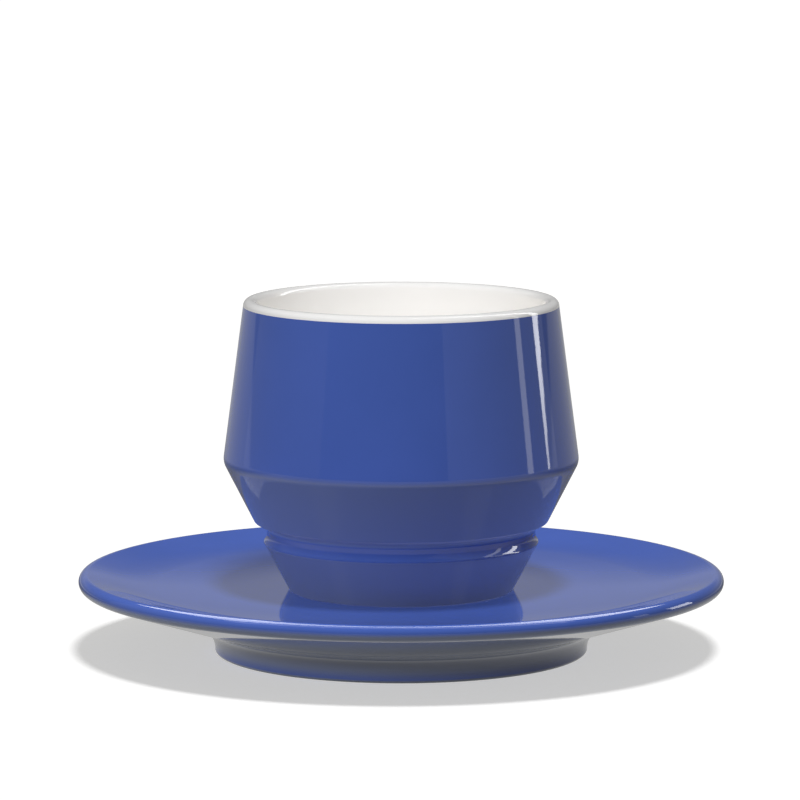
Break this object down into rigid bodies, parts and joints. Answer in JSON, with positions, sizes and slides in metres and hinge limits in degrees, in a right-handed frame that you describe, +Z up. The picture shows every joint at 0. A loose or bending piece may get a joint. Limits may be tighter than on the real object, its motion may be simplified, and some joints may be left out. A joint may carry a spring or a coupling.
{
  "type": "cappuccino cup with saucer",
  "caption": "Insulated cappuccino cup without a handle, with a shouldered body and a stepped tapered foot, standing on a wide shallow saucer with a foot ring.",
  "frame": {"origin": "middle of the saucer's foot ring, on the table", "axes": "+Z up along the common axis of cup and saucer; +X and +Y are free, because every piece is turned about Z"},
  "size_m": [0.155, 0.155, 0.0852],
  "materials": {
    "saucer_blue_glaze": "high-gloss cobalt blue glaze",
    "shell_blue_glaze": "high-gloss cobalt blue glaze",
    "liner_white_glaze": "high-gloss white glaze"
  },
  "bodies": {
    "saucer": {"saucer": "saucer_blue_glaze"},
    "cup": {"cup_outer_shell": "shell_blue_glaze", "cup_inner_liner": "liner_white_glaze"}
  },
  "joints": [
    {"name": "cup_lift", "type": "slide", "parent": "saucer", "child": "cup", "axis": [0, 0, 1], "range_m": [0, 0.12]}
  ]
}
